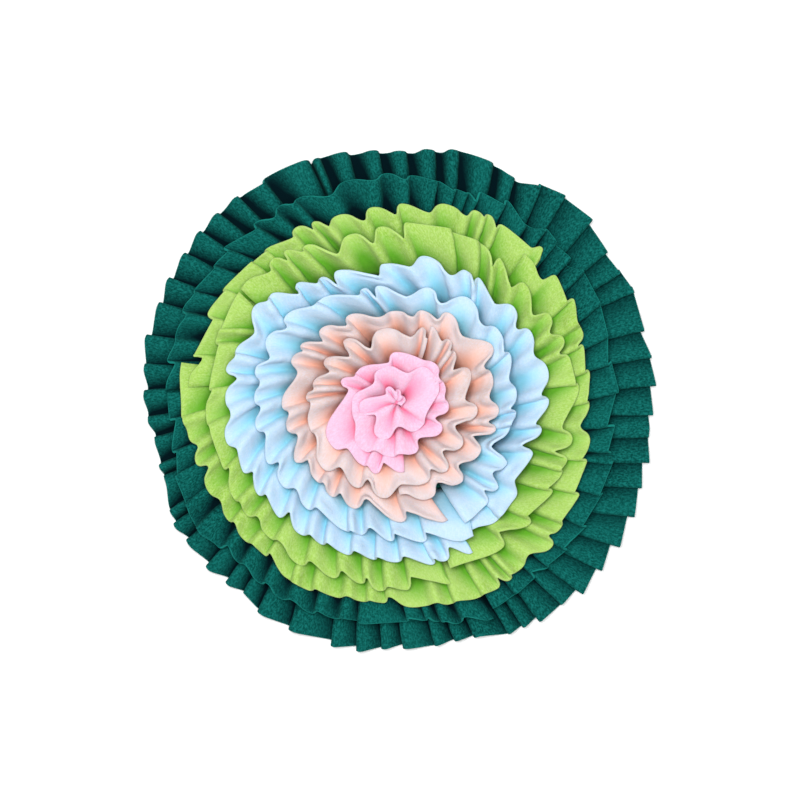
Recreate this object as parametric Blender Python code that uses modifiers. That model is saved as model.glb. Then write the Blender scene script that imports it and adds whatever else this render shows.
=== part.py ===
# Snuffle mat: gathered fleece strips sewn in rings on a round cloth base.
# The free edge of each ring lies outward over the next ring, up to a rosette in the middle.
# Lengths are in millimetres and angles in degrees, anticlockwise from +X seen from above.
# The origin is the middle of the underside of the base, and +Z is up.

import math
import random
from collections import namedtuple

import bpy

MM = 0.001

FLEECE = 2.3              # thickness of one layer of fleece
BASE_RADIUS = 196.0
BASE_THICKNESS = 2.5
BASE_SIDES = 72
GAP = 0.3                 # left between pieces that touch
SEAM_HEIGHT = 4.2         # middle of the cloth where a strip is sewn on
ROWS = (0.0, 0.38, 1.0)   # lines across a strip, from its seam to its free edge
SEAM_LAY = 0.45           # share of a pleat's lay that it has at its seam
BOW = 0.55                # how far a strip rises before it lies over
UNEVEN_WIDTH = 0.20       # random share of a fold's width
UNEVEN_SWING = 0.15       # random share of a fold's swing
UNEVEN_REACH = 1.2        # random part of a fold's reach
MITRE = 1.4               # how much further than half the cloth a sharp corner stands out
PLEAT_DEPTH = 3.3         # least swing up and down that a flat pleat needs for its three layers
EVERY_TURN = 360.0
LEAST_SHARE = 0.15        # share of its swing that cloth keeps in the narrowest place
PAST_END = 6.0            # degrees past a strip's end where its neighbours still keep clear

Colour = namedtuple("Colour", "name rgb")
DARK_GREEN = Colour("dark_green_fleece", (0.004, 0.120, 0.090))
LIME = Colour("lime_fleece", (0.350, 0.650, 0.070))
LIGHT_BLUE = Colour("light_blue_fleece", (0.430, 0.740, 0.910))
PEACH = Colour("peach_fleece", (0.870, 0.620, 0.500))
PINK = Colour("pink_fleece", (0.970, 0.470, 0.680))
BASE_CLOTH = Colour("base_cloth", (0.010, 0.090, 0.070))

# Corners of one fold: x in fold widths along the strip, y in swings towards the middle and up.
# A wave stands open, and a pleat is laid flat over its clockwise neighbour.
Corner = namedtuple("Corner", "wave_x wave_y pleat_x pleat_y")
FOLD = (
    Corner(-0.14, 1.0, -0.28, 0.14),     # back of the crest
    Corner(0.14, 1.0, -0.28, 1.00),      # front of the crest
    Corner(0.34, -1.0, 0.84, -1.00),     # front of the trough
    Corner(0.66, -1.0, 0.84, -0.14),     # back of the trough
)

# seam: radius of the seam, follows: share of the ring's unevenness that its seam follows,
# gather: share of the swing that the folds have at the seam, flat: share of the flare that
# they have there, as pleats sewn down flat do, rise: height of the free edge above the seam,
# flare: how much more the folds swing at the free edge, slant: degrees that a fold turns from
# its seam to its free edge, tooth: how far a crest stands out past its trough.
Ring = namedtuple("Ring", "seam follows gather flat rise flare slant tooth")
RINGS = {
    "green_outer": Ring(174.0, 0.6, 0.5, 1.0, 0.4, 3.2, 3.5, 2.6),
    "green_inner": Ring(152.0, 0.6, 1.0, 0.3, 16.0, 2.8, 4.0, 2.0),
    "lime_outer": Ring(136.0, 0.6, 1.0, 0.2, 22.0, 2.2, 5.0, 0.6),
    "lime_inner": Ring(118.0, 0.6, 1.0, 0.0, 28.5, 2.2, 5.5, 0.4),
    "blue_outer": Ring(100.0, 0.6, 1.0, 0.0, 32.0, 2.4, 6.5, 0.0),
    "blue_inner": Ring(79.0, 0.6, 1.0, 0.0, 34.5, 2.6, 6.5, 0.0),
    "peach_outer": Ring(59.0, 0.6, 1.0, 0.0, 37.0, 2.6, 7.0, 0.0),
    "peach_inner": Ring(41.0, 0.6, 0.9, 0.0, 39.5, 2.6, 8.0, 0.0),
    "rosette": Ring(12.5, 0.0, 0.4, 0.0, 41.5, 1.6, 0.0, 0.0),
}
ORDER = tuple(RINGS)      # from the outside in

# start: angle at which the section begins, folds: how many it has, reach: how far out its
# free edge comes, swing: half the depth of a fold, lay: 0 for open waves, 1 for flat pleats.
Section = namedtuple("Section", "start folds reach swing lay")
# ease: how far the seam of the strip lies from its ring's seam, at its start and its end.
Strip = namedtuple("Strip", "name ring colour ease sections end")

STRIPS = (
    Strip("green_outer_ruffle", "green_outer", DARK_GREEN, (0.0, 0.0), (
        Section(-2.5, 3, 226, 2.2, 1.0),
        Section(16.5, 1, 230, 2.0, 1.0),
        Section(25, 3, 228, 2.2, 1.0),
        Section(43, 1, 235, 2.0, 1.0),
        Section(51, 3, 231, 2.2, 1.0),
        Section(68.5, 3, 228, 2.2, 0.9),
        Section(88.5, 3, 221, 2.4, 0.8),
        Section(108.5, 1, 227, 2.0, 1.0),
        Section(117.5, 4, 230, 2.2, 1.0),
        Section(139, 3, 229, 2.2, 1.0),
        Section(157, 3, 225, 2.2, 1.0),
        Section(177.5, 4, 218, 2.2, 1.0),
        Section(195, 1, 222, 2.0, 1.0),
        Section(208, 6, 221, 2.2, 1.0),
        Section(244.5, 1, 221, 2.0, 1.0),
        Section(254.5, 6, 219, 2.2, 1.0),
        Section(288.5, 1, 220, 2.0, 0.9),
        Section(296, 2, 230, 2.2, 0.9),
        Section(303, 2, 233, 2.0, 1.0),
        Section(314, 4, 234, 2.2, 1.0),
        Section(340.5, 3, 226, 2.2, 0.9),
    ), 357.5),
    Strip("green_inner_ruffle_long", "green_inner", DARK_GREEN, (0.0, 0.0), (
        Section(295.5, 3, 197, 3.0, 0.7),
        Section(320, 3, 198, 3.0, 0.7),
        Section(344, 4, 191, 3.0, 0.7),
        Section(368, 3, 196, 3.0, 0.7),
        Section(394, 5, 201, 3.0, 0.7),
        Section(426, 5, 200, 3.4, 0.6),
        Section(461, 4, 200, 3.4, 0.7),
        Section(486, 4, 204, 3.0, 0.7),
        Section(514, 3, 205, 3.0, 0.7),
    ), 536.5),
    Strip("green_inner_ruffle_short", "green_inner", DARK_GREEN, (0.0, 0.0), (
        Section(178, 5, 204, 3.0, 0.7),
        Section(210, 4, 203, 3.0, 0.7),
        Section(238, 4, 199, 3.0, 0.6),
        Section(272, 3, 203, 3.0, 0.6),
    ), 294),
    Strip("lime_outer_ruffle_short", "lime_outer", LIME, (0.0, 0.0), (
        Section(46.5, 3, 184, 3.8, 0.6),
        Section(70, 5, 175, 5.0, 0.1),
        Section(112, 3, 177, 4.4, 0.4),
        Section(130, 4, 184, 3.6, 0.8),
    ), 172),
    Strip("lime_outer_ruffle_long", "lime_outer", LIME, (0.0, 0.0), (
        Section(173.5, 4, 188, 3.4, 0.9),
        Section(203, 4, 182, 3.6, 0.8),
        Section(230, 3, 182, 3.6, 0.8),
        Section(256, 4, 181, 3.6, 0.8),
        Section(285, 4, 185, 3.6, 0.8),
        Section(311, 4, 184, 3.6, 0.8),
        Section(332, 4, 176, 4.2, 0.5),
        Section(358, 3, 172, 4.0, 0.6),
        Section(378, 3, 179, 4.0, 0.6),
        Section(398, 1, 177, 4.0, 0.6),
    ), 405),
    Strip("lime_inner_ruffle_long", "lime_inner", LIME, (0.0, 0.0), (
        Section(290, 2, 157, 4.4, 0.6),
        Section(309, 2, 157, 4.6, 0.4),
        Section(326, 2, 157, 4.6, 0.5),
        Section(344, 2, 156, 4.6, 0.4),
        Section(360, 3, 158, 4.4, 0.5),
        Section(385, 2, 154, 4.8, 0.3),
        Section(406, 1, 157, 4.4, 0.4),
        Section(420, 1, 159, 2.6, 0.9),
        Section(432, 1, 159, 2.6, 0.9),
        Section(444, 3, 154, 5.2, 0.0),
        Section(472, 2, 164, 4.6, 0.4),
        Section(494, 1, 169, 4.0, 0.6),
    ), 504),
    Strip("lime_inner_ruffle_short", "lime_inner", LIME, (0.0, 0.0), (
        Section(146.5, 1, 169, 3.2, 0.9),
        Section(157, 2, 167, 4.0, 0.8),
        Section(185, 2, 166, 4.2, 0.7),
        Section(202, 2, 165, 4.2, 0.6),
        Section(220, 2, 164, 4.2, 0.6),
        Section(243, 2, 162, 4.2, 0.7),
        Section(261, 2, 165, 4.0, 0.8),
    ), 285.5),
    Strip("blue_outer_ruffle", "blue_outer", LIGHT_BLUE, (0.0, 0.0), (
        Section(300.5, 2, 135, 4.6, 0.3),
        Section(328, 2, 129, 5.0, 0.3),
        Section(352, 2, 134, 4.8, 0.4),
        Section(380, 2, 133, 5.0, 0.2),
        Section(407, 2, 131, 4.6, 0.3),
        Section(429, 2, 128, 5.2, 0.0),
        Section(460, 1, 127, 5.2, 0.1),
        Section(477, 2, 135, 4.8, 0.3),
        Section(492, 2, 148, 4.8, 0.5),
        Section(513, 2, 151, 4.6, 0.6),
        Section(531.5, 2, 150, 4.0, 0.6),
        Section(556, 3, 146, 4.4, 0.6),
        Section(585, 3, 142, 4.4, 0.6),
        Section(616, 3, 143, 4.4, 0.6),
        Section(650, 1, 146, 4.0, 0.6),
    ), 656.5),
    Strip("blue_inner_ruffle", "blue_inner", LIGHT_BLUE, (0.0, 0.0), (
        Section(302, 2, 118, 4.4, 0.5),
        Section(324, 1, 109, 4.8, 0.3),
        Section(336, 2, 103, 5.0, 0.2),
        Section(357, 2, 106, 4.8, 0.3),
        Section(387, 1, 109, 5.0, 0.1),
        Section(404, 1, 111, 5.0, 0.1),
        Section(427, 3, 105, 5.2, 0.0),
        Section(461, 3, 110, 4.6, 0.2),
        Section(492, 2, 125, 4.8, 0.4),
        Section(520, 3, 127, 4.8, 0.5),
        Section(554, 2, 125, 4.8, 0.5),
        Section(581, 3, 121, 4.8, 0.5),
        Section(618, 2, 122, 4.4, 0.4),
        Section(642, 1, 128, 3.2, 0.6),
    ), 660),
    Strip("peach_outer_ruffle", "peach_outer", PEACH, (-3.5, 2.0), (
        Section(275, 2, 88, 3.6, 0.3),
        Section(316, 2, 87, 4.8, 0.2),
        Section(349, 2, 87, 4.8, 0.2),
        Section(384, 2, 94, 4.8, 0.1),
        Section(425, 3, 84, 4.6, 0.1),
        Section(463, 2, 91, 5.0, 0.2),
        Section(501, 2, 98, 4.8, 0.3),
        Section(525, 3, 100, 4.8, 0.3),
        Section(559, 3, 100, 4.8, 0.3),
        Section(598, 2, 103, 4.6, 0.3),
        Section(635, 1, 107, 2.8, 0.4),
    ), 652),
    Strip("peach_inner_ruffle", "peach_inner", PEACH, (0.0, 0.0), (
        Section(69, 1, 69, 4.4, 0.1),
        Section(83, 1, 66, 4.8, 0.1),
        Section(117, 2, 72, 5.0, 0.1),
        Section(156, 3, 79, 4.6, 0.2),
        Section(204, 1, 86, 4.8, 0.2),
        Section(230, 2, 83, 4.8, 0.2),
        Section(270, 1, 75, 4.6, 0.2),
        Section(298, 1, 73, 4.8, 0.2),
        Section(315, 1, 68, 4.8, 0.2),
        Section(340, 1, 70, 4.8, 0.1),
        Section(365, 1, 69, 4.8, 0.1),
        Section(391, 1, 71, 4.6, 0.1),
        Section(415, 1, 73, 4.0, 0.2),
    ), 426),
    Strip("pink_rosette", "rosette", PINK, (-9.3, 10.5), (
        Section(-330, 2, 8.5, 0.5, 0.0),
        Section(-200, 2, 15, 1.8, 0.0),
        Section(-70, 2, 24, 2.8, 0.0),
        Section(60, 2, 34, 3.2, 0.1),
        Section(160, 2, 48, 3.6, 0.2),
        Section(250, 2, 46, 3.8, 0.1),
        Section(340, 2, 46, 4.0, 0.1),
        Section(430, 1, 48, 3.4, 0.1),
        Section(480, 2, 56, 3.6, 0.2),
        Section(560, 2, 64, 3.6, 0.3),
    ), 636),
)


def clear_scene():
    for thing in list(bpy.data.objects):
        bpy.data.objects.remove(thing, do_unlink=True)


def make_collection(name):
    collection = bpy.data.collections.new(name)
    bpy.context.scene.collection.children.link(collection)
    return collection


def make_material(colour):
    material = bpy.data.materials.new(colour.name)
    material.use_nodes = True
    shader = material.node_tree.nodes["Principled BSDF"]
    shader.inputs["Base Color"].default_value = (*colour.rgb, 1.0)
    shader.inputs["Roughness"].default_value = 0.95
    shader.inputs["Metallic"].default_value = 0.0
    return material


def blend(low, high, share):
    return low + (high - low) * share


def middles(sections, end):
    """Middle angle of each section of a strip, and the middle radius of its free edge."""
    stops = [section.start for section in sections[1:]] + [end]
    return [((section.start + stop) / 2.0, section.reach - section.swing)
            for section, stop in zip(sections, stops)]


def read_off(points, angle):
    """Radius at an angle, straight between the middles of the sections."""
    if angle <= points[0][0]:
        return points[0][1]
    for (left, low), (right, high) in zip(points, points[1:]):
        if angle <= right:
            return blend(low, high, (angle - left) / (right - left))
    return points[-1][1]


def ring_means():
    """Mean radius of each ring's free edge."""
    means = {}
    for ring in ORDER:
        edges = [section.reach - section.swing for strip in STRIPS if strip.ring == ring
                 for section in strip.sections]
        means[ring] = sum(edges) / len(edges)
    return means


MEANS = ring_means()
PROFILES = {strip.name: middles(strip.sections, strip.end) for strip in STRIPS}


def rise_share(across):
    """Share of a strip's rise that it has at a share of the way across it."""
    return across + BOW * across * (1.0 - across)


def seam_and_edge(strip, angle):
    """Radius of a strip's seam and of its free edge at an angle along it."""
    ring = RINGS[strip.ring]
    start = strip.sections[0].start
    edge = read_off(PROFILES[strip.name], angle)
    ease = blend(strip.ease[0], strip.ease[1], (angle - start) / (strip.end - start))
    return ring.seam + ring.follows * (edge - MEANS[strip.ring]) + ease, edge


def middle_height(strip, across):
    """Height of the middle surface at a share of the way across a strip."""
    ring = RINGS[strip.ring]
    return SEAM_HEIGHT + ring.flat * ring.flare + ring.rise * rise_share(across)


def middle_line(strip, angle):
    """Radius and height of a strip's middle surface, from its seam to its free edge."""
    seam, edge = seam_and_edge(strip, angle)
    return [(blend(seam, edge, across), middle_height(strip, across)) for across in ROWS]


def distance_to(line, radius, height):
    """Shortest distance from a point to a line of two or more points."""
    shortest = math.inf
    for (x0, y0), (x1, y1) in zip(line, line[1:]):
        along_x, along_y = x1 - x0, y1 - y0
        share = ((radius - x0) * along_x + (height - y0) * along_y) / (along_x ** 2 + along_y ** 2)
        share = min(1.0, max(0.0, share))
        away = math.hypot(radius - x0 - share * along_x, height - y0 - share * along_y)
        shortest = min(shortest, away)
    return shortest


def room(strip, angle, radius, height):
    """How far cloth can swing here: half the way to its nearest neighbour, less half the cloth."""
    place = ORDER.index(strip.ring)
    nearest = math.inf
    for other in STRIPS:
        if abs(ORDER.index(other.ring) - place) > 1:
            continue
        for turn in (-2, -1, 0, 1, 2):
            if other is strip and turn == 0:
                continue
            there = angle + turn * EVERY_TURN
            if other.sections[0].start - PAST_END <= there <= other.end + PAST_END:
                line = middle_line(other, there)
                nearest = min(nearest, distance_to(line, radius, height))
    return 0.5 * (nearest - MITRE * FLEECE - GAP - UNEVEN_REACH)


def fold_lines(strip, chance):
    """Angle, widths of this fold and the last, corner and uneven section for each line."""
    stops = [section.start for section in strip.sections[1:]] + [strip.end]
    lines = []
    width = None
    for section, stop in zip(strip.sections, stops):
        shares = [chance.uniform(1.0 - UNEVEN_WIDTH, 1.0 + UNEVEN_WIDTH)
                  for _ in range(section.folds)]
        degrees = (stop - section.start) / sum(shares)
        angle = section.start
        for share in shares:
            before, width = width or degrees * share, degrees * share
            fold = section._replace(
                swing=section.swing * chance.uniform(1.0 - UNEVEN_SWING, 1.0 + UNEVEN_SWING),
                reach=chance.uniform(-UNEVEN_REACH, UNEVEN_REACH))
            lines += [(angle, width, before, corner, fold) for corner in FOLD]
            angle += width
    return lines


def sheet_object(name, grid, colour, collection, materials):
    """A closed solid of cloth from a grid of points, one list for each line across."""
    across = len(ROWS)
    points = [tuple(value * MM for value in point) for line in grid for point in line]
    faces = []
    for line in range(len(grid) - 1):
        for row in range(across - 1):
            corner = line * across + row
            faces.append((corner, corner + 1, corner + across + 1, corner + across))
    mesh = bpy.data.meshes.new(name)
    mesh.from_pydata(points, [], faces)
    mesh.materials.append(materials[colour])
    piece = bpy.data.objects.new(name, mesh)
    collection.objects.link(piece)
    cloth = piece.modifiers.new("fleece", "SOLIDIFY")
    cloth.thickness = FLEECE * MM
    cloth.offset = 0.0
    cloth.use_even_offset = True
    cloth.use_quality_normals = True
    return piece


def place_point(radius, height, angle):
    turn = math.radians(angle)
    return (radius * math.cos(turn), radius * math.sin(turn), height)


def strip_line(strip, angle, width, before, corner, fold):
    """The points of one line of a strip, from its seam to its free edge."""
    ring = RINGS[strip.ring]
    seam, edge = seam_and_edge(strip, angle + 0.5 * width)
    edge += fold.reach
    points = []
    for across in ROWS:
        radius = blend(seam, edge, across)
        height = middle_height(strip, across)
        slope = math.atan2(ring.rise * (1.0 + BOW * (1.0 - 2.0 * across)), edge - seam)
        push = fold.swing * blend(ring.gather, 1.0, across)
        lift = ring.flare * blend(ring.flat, 1.0, across)
        depth = push * math.sin(slope) + lift
        share = max(LEAST_SHARE, min(1.0, room(strip, angle, radius, height) / depth))
        push *= share
        lift *= share
        lay = fold.lay * blend(SEAM_LAY, 1.0, across) * min(1.0, share * depth / PLEAT_DEPTH)
        turn = blend(corner.wave_x, corner.pleat_x, lay)
        here = angle + turn * (width if turn > 0.0 else before) - ring.slant * (1.0 - across)
        side = blend(corner.wave_y, corner.pleat_y, lay)
        radius += side * (ring.tooth * across - push - lift * math.sin(slope))
        height += side * lift * math.cos(slope)
        points.append(place_point(radius, height, here))
    return points


def make_strip(strip, collection, materials, chance):
    grid = [strip_line(strip, *line) for line in fold_lines(strip, chance)]
    return sheet_object(strip.name, grid, strip.colour, collection, materials)


def make_base(collection, materials):
    bpy.ops.mesh.primitive_cylinder_add(
        vertices=BASE_SIDES, radius=BASE_RADIUS * MM, depth=BASE_THICKNESS * MM,
        location=(0.0, 0.0, 0.5 * BASE_THICKNESS * MM))
    base = bpy.context.object
    base.name = "base_panel"
    base.data.name = "base_panel"
    base.data.materials.append(materials[BASE_CLOTH])
    for owner in list(base.users_collection):
        owner.objects.unlink(base)
    collection.objects.link(base)
    return base


def main():
    clear_scene()
    collection = make_collection("snuffle_mat")
    colours = (DARK_GREEN, LIME, LIGHT_BLUE, PEACH, PINK, BASE_CLOTH)
    materials = {colour: make_material(colour) for colour in colours}
    chance = random.Random(7)
    make_base(collection, materials)
    for strip in STRIPS:
        make_strip(strip, collection, materials, chance)


main()
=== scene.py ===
# Snuffle mat, dressed. Each fleece strip gets every one of its own folds, a soft cut edge
# and a napped finish, and lies in the space that its solid holds.
# Tables are in millimetres and degrees, anticlockwise from +X seen from above.
import math
import bpy
import numpy as np
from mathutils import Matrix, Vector
from mathutils.bvhtree import BVHTree


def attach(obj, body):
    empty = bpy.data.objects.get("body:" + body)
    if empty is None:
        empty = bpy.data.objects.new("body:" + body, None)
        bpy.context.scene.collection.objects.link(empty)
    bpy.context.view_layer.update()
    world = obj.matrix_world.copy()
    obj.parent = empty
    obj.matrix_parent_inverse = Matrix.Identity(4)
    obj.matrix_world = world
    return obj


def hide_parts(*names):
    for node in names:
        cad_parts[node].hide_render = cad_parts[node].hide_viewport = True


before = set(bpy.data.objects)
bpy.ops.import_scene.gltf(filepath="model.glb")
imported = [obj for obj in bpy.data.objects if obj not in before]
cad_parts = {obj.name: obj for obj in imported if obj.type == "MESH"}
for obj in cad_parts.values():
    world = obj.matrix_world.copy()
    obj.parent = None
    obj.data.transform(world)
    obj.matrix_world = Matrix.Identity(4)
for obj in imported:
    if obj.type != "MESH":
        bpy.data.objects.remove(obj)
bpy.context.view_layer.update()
mm = 0.001

# The cloth: how finely folds are drawn, its rounded cut edge and the share of painted shade on it,
# how unevenly it lies, and the painted shade of its lower face.
cloth = {"thickness": 2.3, "perCorner": 6, "rows": 11, "rowCrowding": 0.9, "rim": 5,
         "rimReach": 0.6, "rimShade": 0.5, "wrinkle": 0.35, "wrinkleSize": 14.0,
         "underPaintedShade": 0.75, "seed": 7}

# How strips stand. follow: how late the cloth takes the line of its edge, seamLay: share of a
# pleat's lay at the seam, spare: kept free of the neighbours, leastShare: of its swing that a
# fold keeps in any case, pleatDepth: swing at which a pleat lies flat, overlap: share of a fold
# that lies over the next, openLate: how late folds open to the free edge, roomShare: of the free
# room that a fold takes, tuckLength: of tucked ends, lap: past its ends, a strip still counts.
stand = {"seamHeight": 4.2, "follow": 1.3, "seamLay": 0.45, "spare": 2.9, "leastShare": 0.15,
         "pleatDepth": 3.3, "overlap": 0.12, "openLate": 1.3, "roomShare": 0.55, "tuckLength": 9,
         "leastRun": 5.0, "lap": 6.0, "far": 99.0}

# seam and mean: radius of the seam and mean radius of the free edge, follows: share of the
# edge's unevenness in the seam, flat: share of the flare by which the seam is raised, rise:
# height of the free edge above the seam, flare: how far folds swing at the seam, lift and dip:
# how far ridges and hollows swing at the free edge, box: how square folds are, crisp: how
# sharply pleats are creased, early: how soon a fold's face turns under, opens: how late the
# strip reaches outward, bow: how much it rises before it lies over, shadeOut: share of a
# hollow's painted shade at the free edge.
ringColumns = ("slot", "seam", "mean", "follows", "flat", "rise", "flare", "lift", "dip", "box",
               "crisp", "early", "opens", "bow", "shadeOut")
ringTable = {
    "greenOuter": ("dark_green_fleece", 174.0, 224.0, 0.6, 1.0, -0.6, 3.2, 4.6, 5.4, 1.0, 3.0,
        0.25, 1.0, 0.55, 0.85),
    "greenInner": ("dark_green_fleece", 152.0, 197.0, 0.6, 0.3, 16.0, 2.8, 5.5, 5.0, 0.35, 2.0,
        0.3, 1.0, 0.8, 0.5),
    "limeOuter": ("lime_fleece", 136.0, 177.0, 0.6, 0.2, 22.0, 2.4, 6.0, 5.0, 0.1, 1.5, 0.5, 1.0,
        0.9, 0.15),
    "limeInner": ("lime_fleece", 118.0, 156.0, 0.6, 0.0, 28.5, 2.4, 6.5, 5.5, 0.05, 1.4, 0.5, 1.0,
        1.0, 0.15),
    "blueOuter": ("light_blue_fleece", 100.0, 134.0, 0.6, 0.0, 32.0, 2.6, 6.5, 5.5, 0.0, 1.2,
        0.45, 1.0, 1.05, 0.1),
    "blueInner": ("light_blue_fleece", 79.0, 113.0, 0.6, 0.0, 34.5, 2.8, 6.5, 5.5, 0.0, 1.2, 0.45,
        1.0, 1.05, 0.1),
    "peachOuter": ("peach_fleece", 59.0, 90.0, 0.6, 0.0, 37.0, 2.8, 6.5, 5.5, 0.0, 1.2, 0.45, 1.0,
        1.1, 0.1),
    "peachInner": ("peach_fleece", 35.0, 69.5, 0.6, 0.0, 39.5, 2.8, 6.0, 5.5, 0.0, 1.2, 0.45, 1.0,
        1.4, 0.1),
    "rosette": ("pink_fleece", 12.5, 35.0, 0.0, 0.0, 41.5, 1.6, 3.0, 3.0, 0.0, 1.0, 0.4, 1.8,
        0.95, 0.1),
}
rings = {name: dict(zip(ringColumns, row)) for name, row in ringTable.items()}
ringOrder = list(rings)

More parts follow.
